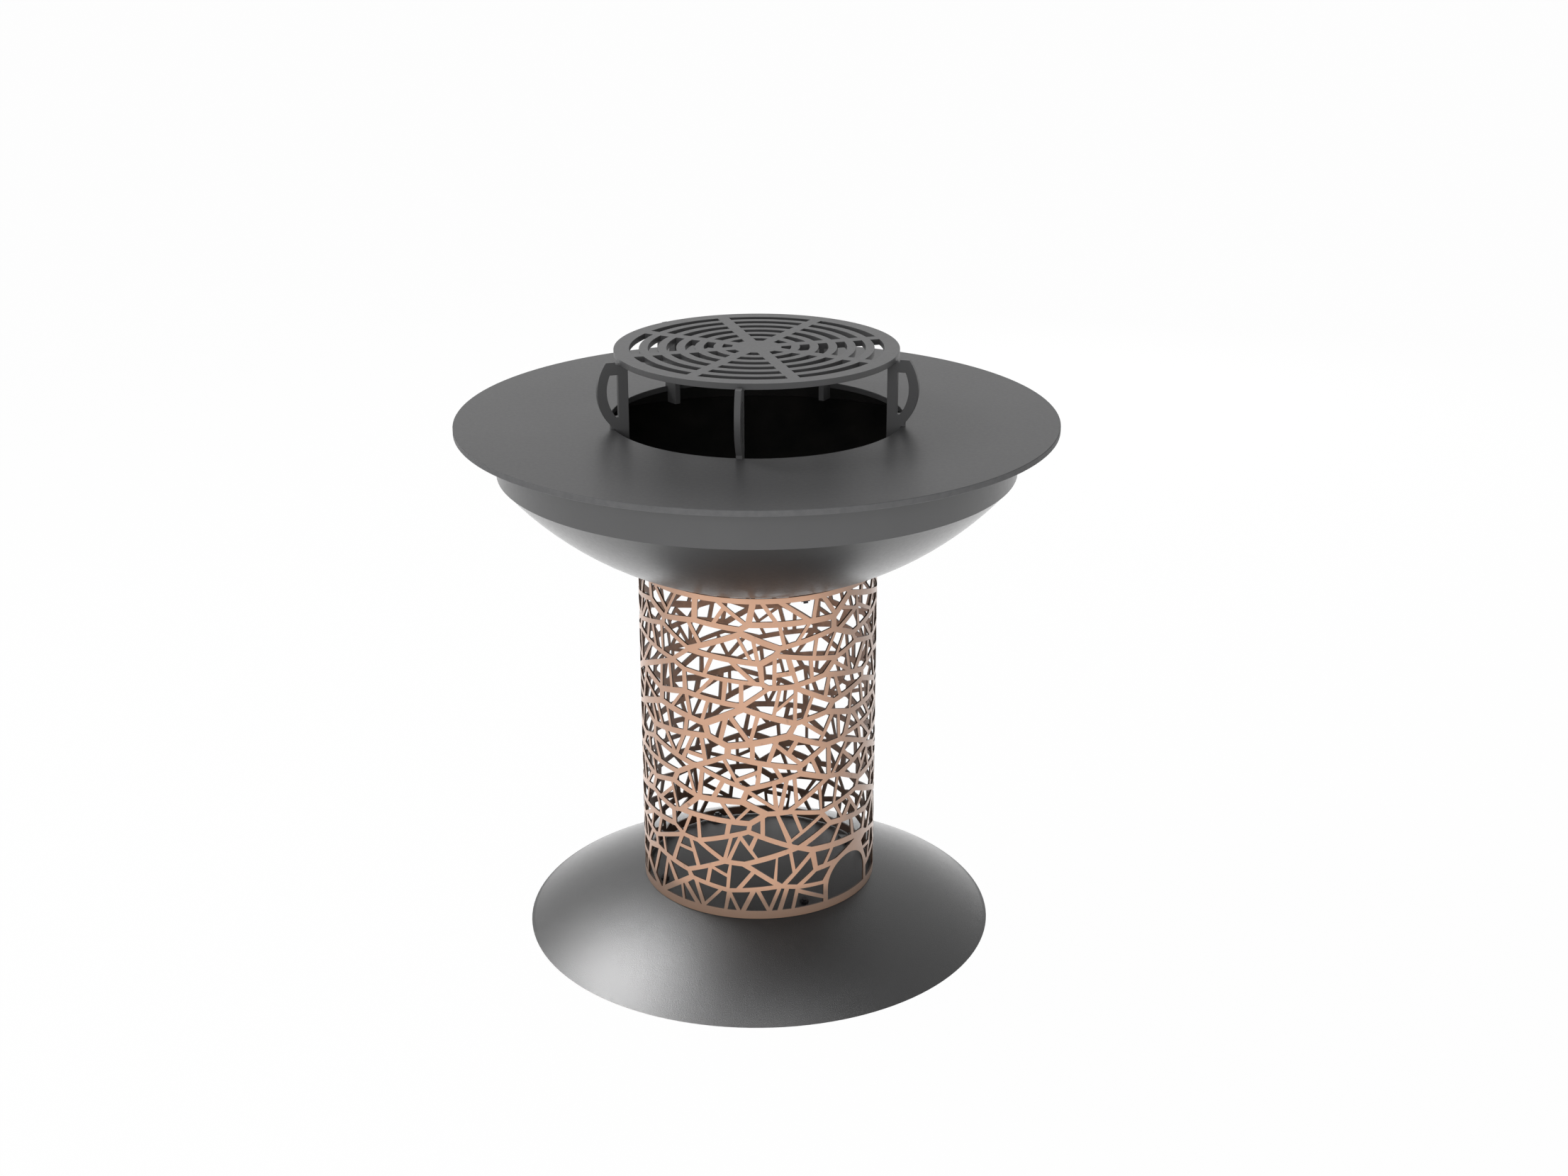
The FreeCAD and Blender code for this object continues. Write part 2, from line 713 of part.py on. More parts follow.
def make_grate():
    """Round grate with rings of curved slots between straight spokes."""
    body = new_body("grill_grate")
    disc = new_sketch(body, "grate_disc", level="plate_top + grate_rise")
    draw_circle(disc, "grate_radius")
    pad(body, disc, "grate_thickness")
    slots = new_sketch(body, "grate_slots", level="plate_top + grate_rise")
    for ring in range(int(worth("grate_ring_count"))):
        near = f"(grate_hub_radius + {ring} * grate_pitch)"
        far = f"({near} + grate_slot_width)"
        corners = []
        for radius, side in ((near, "-1"), (far, "-1"), (far, "1"), (near, "1")):
            half_turn = f"(180 deg / grate_spoke_count - asin(grate_spoke_width / 2 / {radius}))"
            corners.append((f"{radius} * cos({half_turn})", f"{side} * {radius} * sin({half_turn})"))
        draw_outline(slots, corners, {1: (far, "left"), 3: (near, "right")})
    opening = pocket(body, slots)
    repeat(body, [opening], "grate_spoke_count")
    body.Placement = FreeCAD.Placement(FreeCAD.Vector(), FreeCAD.Rotation(UPRIGHT, 1))
    bind(body, "Placement.Rotation.Angle", "grate_azimuth")
    return body


def make_leg(name):
    """Flat D shaped leg: it stands on the hole's edge, reaches into the hole and carries the grate."""
    body = new_body(name)
    profile = new_sketch(body, f"{name}_profile", "XZ_Plane")
    corners = [
        ("leg_inner", "-1 * leg_tab_depth"),
        ("leg_tab_face", "-1 * leg_tab_depth"),
        ("leg_tab_face", "0"),
        ("leg_foot_corner", "0"),
        ("leg_foot_corner", "leg_foot_rise"),
        ("leg_top_corner", "leg_top"),
        ("leg_notch_wall", "leg_top"),
        ("leg_notch_wall", "grate_rise"),
        ("leg_inner", "grate_rise"),
    ]
    draw_outline(profile, corners, {4: ("leg_arc_radius", "left")})
    slot = [
        ("leg_slot_side", "leg_slot_bottom"),
        ("leg_slot_low_corner", "leg_slot_bottom"),
        ("leg_slot_top_corner", "leg_slot_top"),
        ("leg_slot_side", "leg_slot_top"),
    ]
    draw_outline(profile, slot, {1: ("leg_slot_radius", "left")})
    pad(body, profile, "leg_thickness", symmetric=True)
    body.Placement = FreeCAD.Placement(FreeCAD.Vector(), FreeCAD.Rotation(UPRIGHT, 1))
    bind(body, "Placement.Rotation.Angle", f"{name}_azimuth")
    bind(body, "Placement.Base.z", "plate_top")
    return body


LEGS = ("leg_front", "leg_right", "leg_back_right", "leg_back_left", "leg_left")


def make_all():
    """Every piece of the fire pit, from the ground up."""
    pieces = [
        make_dome(),
        make_tabs("foot_tabs", DOME_SEAT),
        make_washers("foot_washers", DOME_SEAT, "dome_sheet"),
        make_nuts("foot_nuts", DOME_SEAT),
        make_screws("foot_bolts", DOME_SEAT, "dome_sheet"),
        make_tube(),
        make_tabs("head_tabs", BOWL_SEAT),
        make_washers("bowl_washers", BOWL_SEAT, "bowl_sheet"),
        make_nuts("bowl_nuts", BOWL_SEAT),
        make_screws("bowl_bolts", BOWL_SEAT, "bowl_sheet"),
        make_bowl(),
        make_band(),
        make_plate(),
        make_lugs(),
        make_grate(),
    ]
    pieces += [make_leg(name) for name in LEGS]
    DOC.recompute()
    return pieces


def write_all(pieces):
    """Check the whole document and write one file for each piece."""
    for thing in DOC.Objects:
        if "Invalid" in thing.State or "Error" in thing.State:
            raise RuntimeError(f"{thing.Label} failed: {thing.State}")
    for piece in pieces:
        if piece.Shape.isNull() or not piece.Shape.isValid():
            raise RuntimeError(f"{piece.Label} has no valid shape")
    os.makedirs("parts", exist_ok=True)
    for piece in pieces:
        piece.Shape.exportStep(os.path.join("parts", f"{piece.Label}.step"))
        print(piece.Label, len(piece.Shape.Solids), "solids", round(piece.Shape.Volume / 1000, 1), "cm3")


fill_sheet()
write_all(make_all())
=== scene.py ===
# %% [markdown]
# # A fire pit with a pierced copper pedestal
#
# The object is a plate-steel fire pit: a spun dome on the ground, a copper-coloured tube with a
# web of cut openings, a dished bowl with an upright band, a round cooking plate, and a grill rack
# over the fire. Its shapes come from a CAD model, which is loaded first and never moved. This
# lesson gives each piece its finish, then sets up the floor, the light and the camera like the
# studio picture of the object.

# %% Load the frame
import json
import math

import bpy
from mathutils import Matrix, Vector


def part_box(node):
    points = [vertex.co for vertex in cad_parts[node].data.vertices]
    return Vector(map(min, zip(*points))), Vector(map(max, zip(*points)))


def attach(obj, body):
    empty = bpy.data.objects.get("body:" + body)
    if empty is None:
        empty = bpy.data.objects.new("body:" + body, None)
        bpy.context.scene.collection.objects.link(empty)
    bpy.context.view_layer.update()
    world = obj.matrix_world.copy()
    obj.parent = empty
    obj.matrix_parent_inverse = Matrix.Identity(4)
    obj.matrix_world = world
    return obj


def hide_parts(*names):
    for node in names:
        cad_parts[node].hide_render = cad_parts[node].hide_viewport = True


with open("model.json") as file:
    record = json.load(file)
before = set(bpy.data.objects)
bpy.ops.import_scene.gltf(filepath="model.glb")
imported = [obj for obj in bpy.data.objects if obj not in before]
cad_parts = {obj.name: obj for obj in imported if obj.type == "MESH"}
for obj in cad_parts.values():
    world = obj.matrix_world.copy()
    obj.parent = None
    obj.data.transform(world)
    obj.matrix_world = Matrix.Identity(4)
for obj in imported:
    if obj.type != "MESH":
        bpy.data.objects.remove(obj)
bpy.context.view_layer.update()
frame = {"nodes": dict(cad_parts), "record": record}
print("pieces:", ", ".join(sorted(frame["nodes"])))

# %% [markdown]
# ## Camera
#
# The camera's place was found by fitting ellipses to the rims of the plate, the band and the dome
# in the photograph. A round rim seen at an angle is an ellipse, and how flat it is tells how high
# the camera stood. The same fit gives the lens, so nothing has to be nudged by eye.

# %% Camera at the photograph's angle
CAMERA_PLACE = (0, -3.4589, 1.9013)
LOOK_DOWN = 0.356569
LOOK_RIGHT = 0.0128861
SENSOR_MM = 36
LENS_MM = 49.65

bpy.ops.object.select_all(action="DESELECT")
bpy.ops.object.camera_add(
    location=CAMERA_PLACE,
    rotation=(math.pi / 2 - LOOK_DOWN, 0, -LOOK_RIGHT),
)
camera = bpy.context.object
camera.name = "photo_camera"
camera.data.sensor_width = SENSOR_MM
camera.data.lens = LENS_MM
bpy.context.scene.camera = camera
print("camera looks down by", round(math.degrees(LOOK_DOWN), 2), "degrees")

# %% [markdown]
# ## Small helpers for node materials
#
# Every finish below is a small network of nodes. Writing out each node would hide the idea, so
# four helpers do the typing: one starts a material, one joins or sets an input, one adds a node,
# and one gives the place on the object. All patterns read Object coordinates, which are metres on
# the real object, so a noise scale of 700 means about 700 grains in a metre.

# %% Helpers for materials


def start_finish(name):
    """New node material with its shader ready."""
    material = bpy.data.materials.new(name)
    material.use_nodes = True
    return material, material.node_tree.nodes["Principled BSDF"]


def set_input(material, node, key, value):
    """Join or set one input, named by its label or its place in the list."""
    socket = node.inputs[int(key)] if key.isdigit() else node.inputs[key]
    if isinstance(value, bpy.types.NodeSocket):
        material.node_tree.links.new(value, socket)
    else:
        socket.default_value = value


def add_node(material, kind, settings=None, **inputs):
    """Add one node. An input given as a socket is joined, and one given as a value is set."""
    node = material.node_tree.nodes.new(kind)
    for key, value in (settings or {}).items():
        setattr(node, key, value)
    for key, value in inputs.items():
        set_input(material, node, key, value)
    return node


def object_place(material):
    """Object coordinates, in metres."""
    return add_node(material, "ShaderNodeTexCoord").outputs["Object"]


print("helpers ready")

# %% [markdown]
# ## Clouds and ranges
#
# No real surface has one even colour or one even gloss. A noise texture gives a soft cloud of
# values, most of them between 0.3 and 0.7, and these helpers turn such a cloud into a colour
# between two tints, or into a number between two limits. A photograph of a surface could do the
# same, but noise in metres fits any shape and has no seams.

# %% Clouds, tints and ranges
NOISE_LOW = 0.3
NOISE_HIGH = 0.7


def cloud(material, place, patches, detail, roughness=0.5):
    """Soft noise of a given number of patches in a metre."""
    noise = add_node(
        material, "ShaderNodeTexNoise",
        Vector=place, Scale=patches, Detail=detail, Roughness=roughness,
    )
    return noise.outputs["Fac"]


def stretch(material, value, low, high, to_low, to_high):
    """Value moved from one range to another."""
    node = add_node(material, "ShaderNodeMapRange", Value=value)
    for place, number in enumerate((low, high, to_low, to_high), start=1):
        node.inputs[place].default_value = number
    return node.outputs["Result"]


def spread(material, noise, low, high):
    """Number that goes from low to high with a cloud."""
    return stretch(material, noise, NOISE_LOW, NOISE_HIGH, low, high)


def tint_between(material, noise, dark, light):
    """Colour that goes from dark to light with a cloud."""
    ramp = add_node(material, "ShaderNodeValToRGB", Fac=noise)
    start, end = ramp.color_ramp.elements
    start.position, start.color = NOISE_LOW, (*dark, 1)
    end.position, end.color = NOISE_HIGH, (*light, 1)
    return ramp.outputs["Color"]


def mottled(material, place, patches, dark, light, detail):
    """Colour clouded between two tints."""
    return tint_between(material, cloud(material, place, patches, detail), dark, light)


print("clouds run from", NOISE_LOW, "to", NOISE_HIGH)

# %% [markdown]
# ## Matt coat of the dark steel
#
# All the dark steel wears a grey powder coat. Powder is sprayed on dry and baked, so it flows into
# a skin that is smooth from afar and finely pebbled from near. One noise at grain size gives that
# pebbling as bump, a wider one shifts the grey a little, and a third one changes the gloss, because
# real coats are never equally shiny all over. The dome's pebbles are the coarsest.

# %% Powder coat
GREY_SPREAD = (0.93, 1.07)
BLUE_CAST = 1.02
GREY_PATCHES = 5
GLOSS_PATCHES = 160
GLOSS_SPREAD = 0.02
PEBBLE_HEIGHT = 0.0006


def powder_coat(name, grey, gloss, grain=0.12, shine=0.42, pebbles=700):
    """Baked coat: its grey, mean roughness, bump, mirror strength and pebbles in a metre."""
    material, shader = start_finish(name)
    place = object_place(material)
    dark, light = [(grey * part, grey * part, grey * part * BLUE_CAST) for part in GREY_SPREAD]
    colour = mottled(material, place, GREY_PATCHES, dark, light, detail=4)
    set_input(material, shader, "Base Color", colour)
    worn = cloud(material, place, GLOSS_PATCHES, detail=3)
    roughness = spread(material, worn, gloss - GLOSS_SPREAD, gloss + GLOSS_SPREAD)
    set_input(material, shader, "Roughness", roughness)
    pebble = cloud(material, place, pebbles, detail=3, roughness=0.6)
    bump = add_node(
        material, "ShaderNodeBump", Strength=grain, Distance=PEBBLE_HEIGHT, Height=pebble
    )
    set_input(material, shader, "Normal", bump.outputs["Normal"])
    shader.inputs["Specular IOR Level"].default_value = shine
    return material


dome_coat = powder_coat("dome_coat", grey=0.026, gloss=0.33, grain=0.68, pebbles=640)
bowl_coat = powder_coat("bowl_coat", grey=0.018, gloss=0.36, grain=0.08, shine=0.31)
band_coat = powder_coat("band_coat", grey=0.060, gloss=0.46, shine=0.46)
plate_coat = powder_coat("plate_coat", grey=0.048, gloss=0.40, shine=0.29)
rack_coat = powder_coat("rack_coat", grey=0.054, gloss=0.46, shine=0.55)
tab_coat = powder_coat("tab_coat", grey=0.034, gloss=0.42)
coats = (dome_coat, bowl_coat, band_coat, plate_coat, rack_coat, tab_coat)
print("coats:", [coat.name for coat in coats])

# %% [markdown]
# ## Two finishes on one piece
#
# Soot with painted shade, ground edges with painted light, and cut edges give a piece a second
# finish in one place. It could be painted on by hand, or the piece could be cut in two. But these
# pieces are all round, so one distance tells where a point lies: how far it is from the upright
# axis, or from the middle of a ball. That number becomes a share from 0 to 1, which lays the second
# finish over the coat.

# %% Distances and second finishes
ACROSS = (1, 1, 0)
# Places of the Mix node's two inputs and its output, which differ between colours and numbers.
MIX_PLACES = {"RGBA": ("6", "7", 2), "FLOAT": ("2", "3", 0)}


def axis_distance(material, place):
    """Distance from the upright axis that all the round pieces share."""
    flat = add_node(material, "ShaderNodeVectorMath", {"operation": "MULTIPLY"})
    set_input(material, flat, "0", place)
    set_input(material, flat, "1", ACROSS)
    reach = add_node(material, "ShaderNodeVectorMath", {"operation": "LENGTH"})
    set_input(material, reach, "0", flat.outputs["Vector"])
    return reach.outputs["Value"]


def point_distance(material, place, point):
    """Distance from a point."""
    reach = add_node(material, "ShaderNodeVectorMath", {"operation": "DISTANCE"})
    set_input(material, reach, "0", place)
    set_input(material, reach, "1", point)
    return reach.outputs["Value"]


def inside_share(material, distance, edge, blur):
    """1 where a distance is less than an edge, and 0 beyond it."""
    return stretch(material, distance, edge - blur, edge + blur, 1, 0)


def blend(material, share, first, second, kind="RGBA"):
    """First colour or value where the share is 0, second where it is 1."""
    mix = add_node(material, "ShaderNodeMix", {"data_type": kind}, Factor=share)
    first_place, second_place, result = MIX_PLACES[kind]
    set_input(material, mix, first_place, first)
    set_input(material, mix, second_place, second)
    return mix.outputs[result]


def lay_over(material, share, colour, roughness):
    """Second finish over a coat, where the share is 1."""
    shader = material.node_tree.nodes["Principled BSDF"]
    coat_colour = shader.inputs["Base Color"].links[0].from_socket
    coat_roughness = shader.inputs["Roughness"].links[0].from_socket
    both_colours = blend(material, share, coat_colour, colour)
    both_roughnesses = blend(material, share, coat_roughness, roughness, "FLOAT")
    set_input(material, shader, "Base Color", both_colours)
    set_input(material, shader, "Roughness", both_roughnesses)


print("second finishes ready")

# %% [markdown]
# ## Soot and painted shade in the bowl and the band
#
# Fire blackens the inside of the bowl and the band, and soot swallows nearly all light. The
# near-black there is also painted shade, since the inside lies in shade. The bowl is part of a ball,
# so the distance from the ball's middle tells its inside from its outside, and the ball follows from
# the bowl's depth and its rim. For the upright band, the distance from the axis tells the same. The
# soot and the painted shade creep a little way over both rims.

# %% Soot and painted shade over the inside
STEEL_SHEET = 0.004
BOWL_CREEP = 0.002
BAND_CREEP = 0.001
SOOT_AND_SHADE_BLUR = 0.0004
# Soot and painted shade: near-black inside the bowl and the band, which lie in shade.
SOOT_AND_SHADE_DARK = (0.005, 0.005, 0.005)
SOOT_AND_SHADE_LIGHT = (0.014, 0.013, 0.012)
SOOT_AND_SHADE_PATCHES = 18
SOOT_ROUGHNESS = 0.6

bowl_low, bowl_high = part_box("fire_bowl")
bowl_depth = bowl_high[2] - bowl_low[2]
ball_radius = (bowl_high[0] ** 2 + bowl_depth ** 2) / (2 * bowl_depth)
ball_middle = (0, 0, bowl_low[2] + ball_radius)
bowl_soot_and_shade_edge = ball_radius - STEEL_SHEET + BOWL_CREEP
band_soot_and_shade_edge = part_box("rim_band")[1][0] - STEEL_SHEET + BAND_CREEP


def blacken(material, place, distance, edge):
    """Soot and painted shade over a coated piece, where a distance is less than an edge."""
    soot_and_shade = mottled(material, place, SOOT_AND_SHADE_PATCHES, SOOT_AND_SHADE_DARK, SOOT_AND_SHADE_LIGHT, detail=5)
    lay_over(material, inside_share(material, distance, edge, SOOT_AND_SHADE_BLUR), soot_and_shade, SOOT_ROUGHNESS)


bowl_place = object_place(bowl_coat)
bowl_reach = point_distance(bowl_coat, bowl_place, ball_middle)
blacken(bowl_coat, bowl_place, bowl_reach, bowl_soot_and_shade_edge)
band_place = object_place(band_coat)
band_reach = axis_distance(band_coat, band_place)
blacken(band_coat, band_place, band_reach, band_soot_and_shade_edge)
print("soot within", round(bowl_soot_and_shade_edge, 4), "m of the ball's middle in the bowl")
print("soot within", round(band_soot_and_shade_edge, 4), "m of the axis in the band")

# %% [markdown]
# ## Ground edge of the cooking plate, with painted light
#
# The plate's outer edge was ground after cutting, so it is more matt than the top. Its lighter grey
# is partly the bare ground steel, where coats stay thin, and partly painted light for the light that
# the upright edge catches. The distance from the axis picks the edge out, in the same way as the
# soot and painted shade above.

# %% Lighter edge
EDGE_DEPTH = 0.001
EDGE_BLUR = 0.0001
# Lighter grey of the edge: bare ground steel, and painted light on the upright edge.
GROUND_AND_LIT_EDGE_DARK = (0.089, 0.089, 0.091)
GROUND_AND_LIT_EDGE_LIGHT = (0.106, 0.106, 0.108)
GROUND_PATCHES = 90
GROUND_ROUGHNESS = 0.72

edge_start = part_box("cooking_plate")[1][0] - EDGE_DEPTH
plate_place = object_place(plate_coat)
plate_reach = axis_distance(plate_coat, plate_place)
on_edge = stretch(plate_coat, plate_reach, edge_start - EDGE_BLUR, edge_start + EDGE_BLUR, 0, 1)
ground = mottled(
    plate_coat, plate_place, GROUND_PATCHES, GROUND_AND_LIT_EDGE_DARK, GROUND_AND_LIT_EDGE_LIGHT, detail=4
)
lay_over(plate_coat, on_edge, ground, GROUND_ROUGHNESS)
print("ground edge starts", round(edge_start, 4), "m from the axis")

# %% [markdown]
# ## Copper of the pedestal
#
# The tube is the bright piece: sheet with a satin copper finish, brushed round the tube before it
# was cut. The cut edges were never brushed and the laser browned them, and the inside kept a dull
# brown skin, with painted shade low down, where little light gets into the tube. The distance from
# the tube's axis tells the three apart, so each gets its own colour here, and the next cells mix
# them.

# %% Colours of the copper
COPPER_PATCHES, BROWNED_PATCHES, DULL_PATCHES = 9, 60, 45
COPPER_DARK, COPPER_LIGHT = (0.475, 0.268, 0.17), (0.54, 0.31, 0.20)
BROWNED_DARK, BROWNED_LIGHT = (0.030, 0.017, 0.011), (0.055, 0.032, 0.021)
DULL_DARK, DULL_LIGHT = (0.18, 0.088, 0.050), (0.36, 0.19, 0.113)
# Painted shade low inside the tube: a dark brown at the bottom of the bore that fades out upwards.
BORE_SHADE = (0.035, 0.022, 0.016, 1)
BORE_SHADE_HEIGHTS = (0.12, 0.50)
BORE_SHADE_SHARES = (0.9, 0)

copper, copper_shader = start_finish("tube_copper")
copper_place = object_place(copper)
along = add_node(copper, "ShaderNodeSeparateXYZ", Vector=copper_place).outputs
bright = mottled(
    copper, copper_place, COPPER_PATCHES, COPPER_DARK, COPPER_LIGHT, detail=5
)
browned = mottled(
    copper, copper_place, BROWNED_PATCHES, BROWNED_DARK, BROWNED_LIGHT, detail=4
)
dull = mottled(copper, copper_place, DULL_PATCHES, DULL_DARK, DULL_LIGHT, detail=6)
bore_shade_share = stretch(copper, along["Z"], *BORE_SHADE_HEIGHTS, *BORE_SHADE_SHARES)
bore_colour = blend(copper, bore_shade_share, dull, BORE_SHADE)
print("copper colours:", COPPER_DARK, "to", COPPER_LIGHT)

# %% [markdown]
# The copper is painted a darker, greyer brown as painted shade in three places: at the foot, where
# the dome takes away the light that the copper would mirror, and on the two sides, which the light
# grazes, the right more than the left. Each place is a range of heights or widths over which the
# share of painted shade grows, and a cloud makes the sides blotchy.

# %% Painted shade by place
# Painted shade: a darker, greyer brown laid over the copper at the foot and on both sides.
SIDE_AND_FOOT_SHADE = (0.20, 0.127, 0.088, 1)
FOOT_HEIGHTS, FOOT_SHARES = (0.120, 0.146), (0.92, 0)
RIGHT_SHADE_WIDTHS, RIGHT_SHADE_SHARES = (0.085, 0.155), (0, 0.66)
LEFT_SHADE_WIDTHS, LEFT_SHADE_SHARES = (-0.105, -0.160), (0, 0.42)
BLOTCH_PATCHES = 14
BLOTCH_STRENGTHS = (0.75, 1.25)


def combine(material, operation, first, second):
    """Two values joined by a sum, a product or the like."""
    node = add_node(material, "ShaderNodeMath", {"operation": operation})
    set_input(material, node, "0", first)
    set_input(material, node, "1", second)
    return node.outputs["Value"]


# Shares of painted shade at the foot and on the right and left sides.
foot_shade = stretch(copper, along["Z"], *FOOT_HEIGHTS, *FOOT_SHARES)
right_side_shade = stretch(copper, along["X"], *RIGHT_SHADE_WIDTHS, *RIGHT_SHADE_SHARES)
left_side_shade = stretch(copper, along["X"], *LEFT_SHADE_WIDTHS, *LEFT_SHADE_SHARES)
blotch_cloud = cloud(copper, copper_place, BLOTCH_PATCHES, detail=6)
blotches = spread(copper, blotch_cloud, *BLOTCH_STRENGTHS)
both_sides = combine(copper, "ADD", right_side_shade, left_side_shade)
sides = combine(copper, "MULTIPLY", both_sides, blotches)
painted_shade_share = combine(copper, "MAXIMUM", foot_shade, sides)
skin_with_painted_shade = blend(copper, painted_shade_share, bright, SIDE_AND_FOOT_SHADE)
# The painted shade at the foot reaches up to this height.
print("patina at the foot up to", FOOT_HEIGHTS[1], "m")

# %% [markdown]
# Brushing leaves fine lines, so its noise is stretched: coarse round the tube and very fine up it.
# The lines give a slight bump and a gloss that changes from line to line. The finish is a lacquer
# over the copper, so the shader is only a little metallic.

# %% Copper finish
TUBE_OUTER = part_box("pedestal_tube")[1][0]
TUBE_WALL = 0.003
SKIN_DEPTH = 0.0001
SKIN_BLUR = 0.00005
BRUSH_LINES = (40, 40, 2600)
BRUSH_ROUGHNESSES = (0.34, 0.46)
BRUSH_BUMP = 0.05
BRUSH_DEPTH = 0.0003
COPPER_METAL = 0.12
COPPER_SHINE = 0.52

tube_skin = TUBE_OUTER - SKIN_DEPTH
tube_bore = TUBE_OUTER - TUBE_WALL + SKIN_DEPTH
off_axis = axis_distance(copper, copper_place)
below_skin = inside_share(copper, off_axis, tube_skin, SKIN_BLUR)
below_wall = inside_share(copper, off_axis, tube_bore, SKIN_BLUR)
edge_colour = blend(copper, below_skin, skin_with_painted_shade, browned)
tube_colour = blend(copper, below_wall, edge_colour, bore_colour)
set_input(copper, copper_shader, "Base Color", tube_colour)

brush_place = add_node(copper, "ShaderNodeMapping", Vector=copper_place, Scale=BRUSH_LINES)
brush = cloud(copper, brush_place.outputs["Vector"], 1, detail=3)
set_input(copper, copper_shader, "Roughness", spread(copper, brush, *BRUSH_ROUGHNESSES))
brush_bump = add_node(
    copper, "ShaderNodeBump", Strength=BRUSH_BUMP, Distance=BRUSH_DEPTH, Height=brush
)
set_input(copper, copper_shader, "Normal", brush_bump.outputs["Normal"])
copper_shader.inputs["Metallic"].default_value = COPPER_METAL
copper_shader.inputs["Specular IOR Level"].default_value = COPPER_SHINE
print("cut edges between", round(tube_bore, 4), "and", round(tube_skin, 4), "m from the axis")

# %% [markdown]
# ## Black oxide on the screws
#
# Zinc gives off harmful fumes near a fire, so the screws, nuts and washers are blackened steel.
# They hide inside the tube and the bowl, and show from below. The oxide is a thin skin: it stays
# metallic, with a mottle where it took unevenly, and a noise of a few millimetres gives that.

# %% Black oxide finish
OXIDE_DARK = (0.035, 0.035, 0.038)
OXIDE_LIGHT = (0.065, 0.064, 0.066)
OXIDE_PATCHES = 400
OXIDE_ROUGHNESSES = (0.34, 0.48)
OXIDE_METAL = 0.9

black_oxide, oxide_shader = start_finish("fastener_black")
oxide_cloud = cloud(black_oxide, object_place(black_oxide), OXIDE_PATCHES, detail=4)
oxide_colour = tint_between(black_oxide, oxide_cloud, OXIDE_DARK, OXIDE_LIGHT)
oxide_roughness = spread(black_oxide, oxide_cloud, *OXIDE_ROUGHNESSES)
set_input(black_oxide, oxide_shader, "Base Color", oxide_colour)
set_input(black_oxide, oxide_shader, "Roughness", oxide_roughness)
oxide_shader.inputs["Metallic"].default_value = OXIDE_METAL
print("screws blackened")

# %% [markdown]
# ## Give each piece its finish
#
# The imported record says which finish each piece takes, so one table from the record's names to the
# materials above dresses every piece.

# %% Dress the pieces
FINISHES = {
    "dome_coat": dome_coat,
    "bowl_coat": bowl_coat,
    "band_coat": band_coat,
    "plate_steel": plate_coat,
    "rack_steel": rack_coat,
    "tube_copper": copper,
    "tab_steel": tab_coat,
    "fastener_black": black_oxide,
}
SLOT_OF = {subpart["node"]: subpart["material_slot"] for subpart in frame["record"]["subparts"]}

for node, finish in SLOT_OF.items():
    for slot in frame["nodes"][node].material_slots:
        slot.material = FINISHES[finish]
print("dressed", len(SLOT_OF), "pieces")

# %% [markdown]
# ## Broken edges
#
# Sheet and plate come from cutting with edges sharp enough to cut a hand, so a maker breaks them
# with a grinder before coating. The CAD pieces of the dome, the bowl and the rack have sharp edges,
# and a sharp edge never catches light. Each one is therefore copied, the copy's loose triangles are
# merged, and a Bevel modifier rounds every edge that is sharper than 40 degrees. A Weighted Normal
# modifier keeps the large faces flat, so that the shading bends on the rounding alone. The copy
# then stands for the CAD piece.

# %% Pieces with broken edges
EDGE_ANGLE = math.radians(40)
MERGE_DISTANCE = 0.00001
LEGS = ("leg_front", "leg_right", "leg_back_right", "leg_back_left", "leg_left")


def break_edges(node, body, width):
    """Copy of a CAD piece with its sharp edges rounded, in the piece's own finish."""
    bpy.ops.object.select_all(action="DESELECT")
    piece = bpy.data.objects.new(node + "_dressed", frame["nodes"][node].data.copy())
    bpy.context.collection.objects.link(piece)
    piece.select_set(True)
    bpy.context.view_layer.objects.active = piece
    bpy.ops.object.mode_set(mode="EDIT")
    bpy.ops.mesh.select_all(action="SELECT")
    bpy.ops.mesh.remove_doubles(threshold=MERGE_DISTANCE)
    bpy.ops.object.mode_set(mode="OBJECT")
    bpy.ops.object.shade_smooth()
    rounding = piece.modifiers.new("rounding", "BEVEL")
    rounding.width = width
    rounding.segments = 2
    rounding.limit_method = "ANGLE"
    rounding.angle_limit = EDGE_ANGLE
    rounding.use_clamp_overlap = False
    rounding.face_strength_mode = "FSTR_ALL"
    bpy.ops.object.modifier_apply(modifier="rounding")
    piece.modifiers.new("flat_faces", "WEIGHTED_NORMAL").use_face_influence = True
    bpy.ops.object.modifier_apply(modifier="flat_faces")
    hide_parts(node)
    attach(piece, body)
    return piece


dressed_dome = break_edges("base_dome", "stand", width=0.0006)
dressed_bowl = break_edges("fire_bowl", "stand", width=0.0004)
dressed_grate = break_edges("grill_grate", "rack", width=0.0005)
dressed_legs = [break_edges(leg, "rack", width=0.0006) for leg in LEGS]
broken = [dressed_dome, dressed_bowl, dressed_grate, *dressed_legs]
print("edges broken on", {piece.name: len(piece.data.polygons) for piece in broken})

# %% [markdown]
# ## Weld beads under the grate
#
# Each leg is welded to the underside of the grate's rim, with a short bead along both of its sides.
# A bead is a row of molten drops that froze one over the other, which gives it its ripples. It is
# modelled the same way: one squashed ball is the first drop, copies follow it along the joint, the
# whole row is copied to the leg's other side, and a Remesh modifier melts them into a closed skin.

# %% Beads on the legs
LEG_THICKNESS = 0.010
DROP = 0.0021
DROP_SQUASH = (0.95, 0.95, 0.8)
DROP_STEP = 0.0015
DROPS = 8
DROP_OUT = 0.3 * DROP
SKIN_CELL = DROP / 7
RIM_INSET = 0.0015
RIM_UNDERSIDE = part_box("grill_grate")[0][2]
BEAD_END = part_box("grill_grate")[1][0] - RIM_INSET


def copy_drops(offset):
    """Copy the selected drops to another place, and leave the copy selected."""
    bpy.ops.mesh.duplicate()
    bpy.ops.transform.translate(value=offset)


